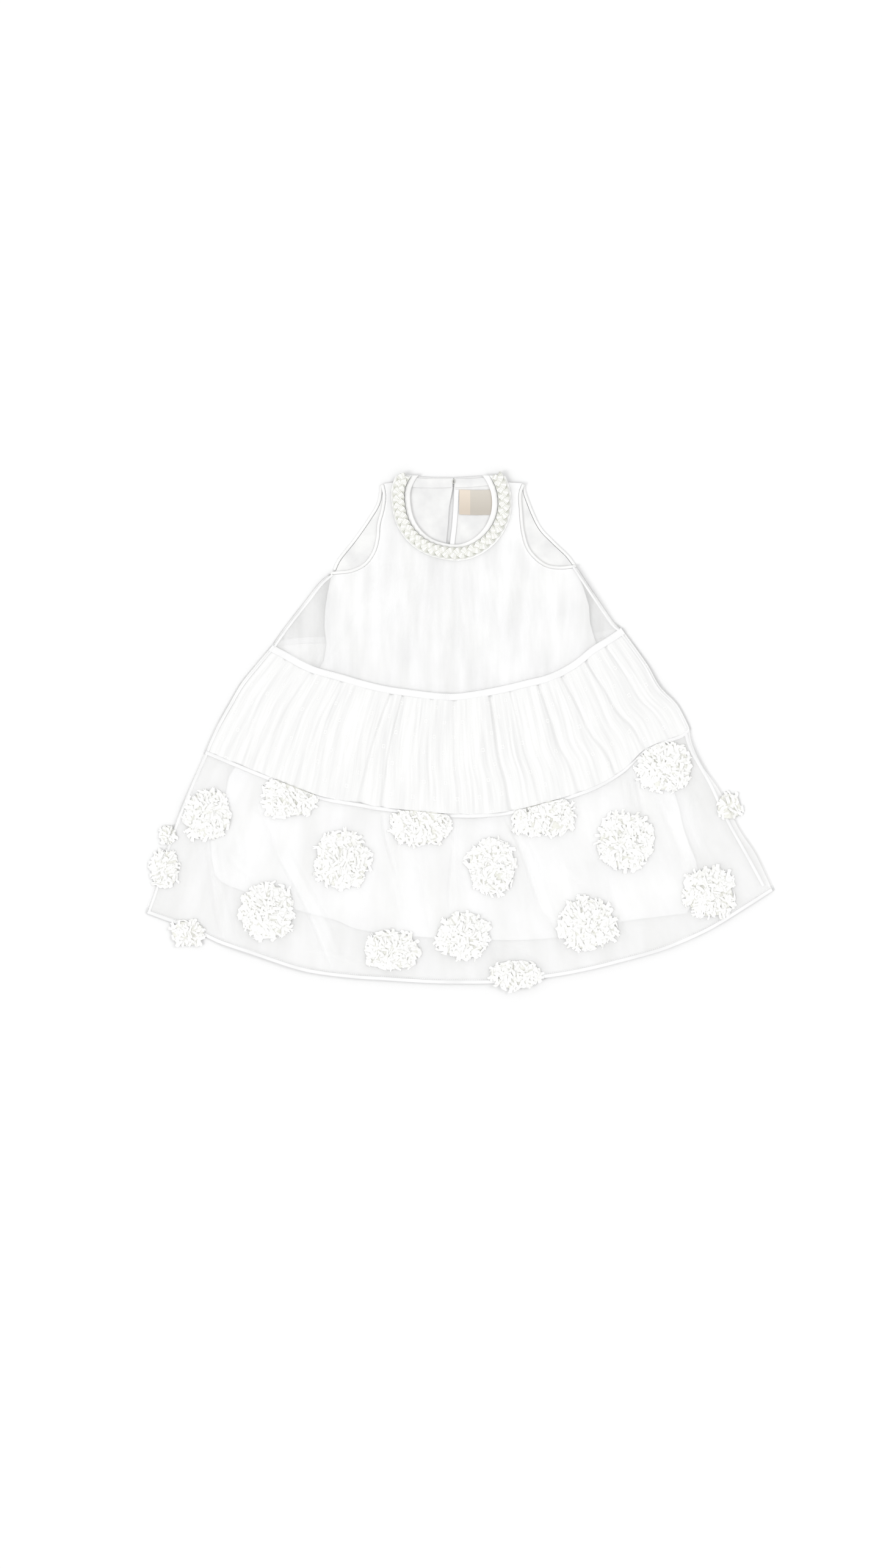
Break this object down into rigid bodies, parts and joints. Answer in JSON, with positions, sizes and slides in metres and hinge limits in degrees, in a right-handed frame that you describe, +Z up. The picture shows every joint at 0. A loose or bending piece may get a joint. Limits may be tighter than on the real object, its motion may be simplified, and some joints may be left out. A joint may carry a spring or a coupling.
{
  "type": "child's sleeveless tiered dress",
  "caption": "Sleeveless tiered tent dress for a child, laid flat: sheer yoke over lining, crinkled gauze tier, sheer hem tier with ruffled rosettes, plaited neck trim.",
  "frame": {"origin": "middle of the laid-out dress's footprint, on the surface that it lies on", "axes": "+Z up out of the surface, towards the front of the dress; +Y from the hem towards the neck; +X towards the wearer's left, which is the viewer's right"},
  "size_m": [0.948, 0.7748, 0.0195],
  "materials": {
    "organza": "sheer white organza, faint sheen, lets the layer below show",
    "crinkled_gauze": "white crinkled cotton gauze, matt",
    "lining": "plain white woven lining, matt",
    "seam_band": "doubled white cloth, matt, top-stitched",
    "binding": "rolled white satin-faced binding, soft sheen",
    "satin_cord": "plaited ivory satin cord, silky sheen",
    "chiffon_frill": "raw-edged ivory-white chiffon frills",
    "woven_label": "woven two-tone peach and grey-beige label, bare"
  },
  "bodies": {
    "root": {"back_yoke": "organza", "front_yoke": "organza", "back_hem_tier": "organza", "front_hem_tier": "organza", "back_mid_tier": "crinkled_gauze", "front_mid_tier": "crinkled_gauze", "back_lining": "lining", "front_lining": "lining", "back_neck_facing_left": "lining", "back_neck_facing_right": "lining", "back_upper_seam_band": "seam_band", "back_lower_seam_band": "seam_band", "front_upper_seam_band": "seam_band", "front_lower_seam_band": "seam_band", "back_hem_band": "seam_band", "front_hem_band": "seam_band", "slit_placket": "seam_band", "neck_binding": "binding", "armhole_binding_front_left": "binding", "armhole_binding_front_right": "binding", "armhole_binding_back_left": "binding", "armhole_binding_back_right": "binding", "neck_braid": "satin_cord", "slit_loop": "satin_cord", "neck_label": "woven_label", "rosette_left_seam": "chiffon_frill", "rosette_upper_left": "chiffon_frill", "rosette_upper_middle": "chiffon_frill", "rosette_upper_right": "chiffon_frill", "rosette_right_seam": "chiffon_frill", "rosette_mid_left": "chiffon_frill", "rosette_mid_centre": "chiffon_frill", "rosette_mid_right": "chiffon_frill", "rosette_low_left": "chiffon_frill", "rosette_low_left_centre": "chiffon_frill", "rosette_low_centre": "chiffon_frill", "rosette_low_right_centre": "chiffon_frill", "rosette_low_right": "chiffon_frill", "rosette_hem": "chiffon_frill", "rosette_left_edge": "chiffon_frill", "rosette_left_edge_small": "chiffon_frill", "rosette_hem_left": "chiffon_frill", "rosette_right_edge": "chiffon_frill"}
  },
  "joints": []
}
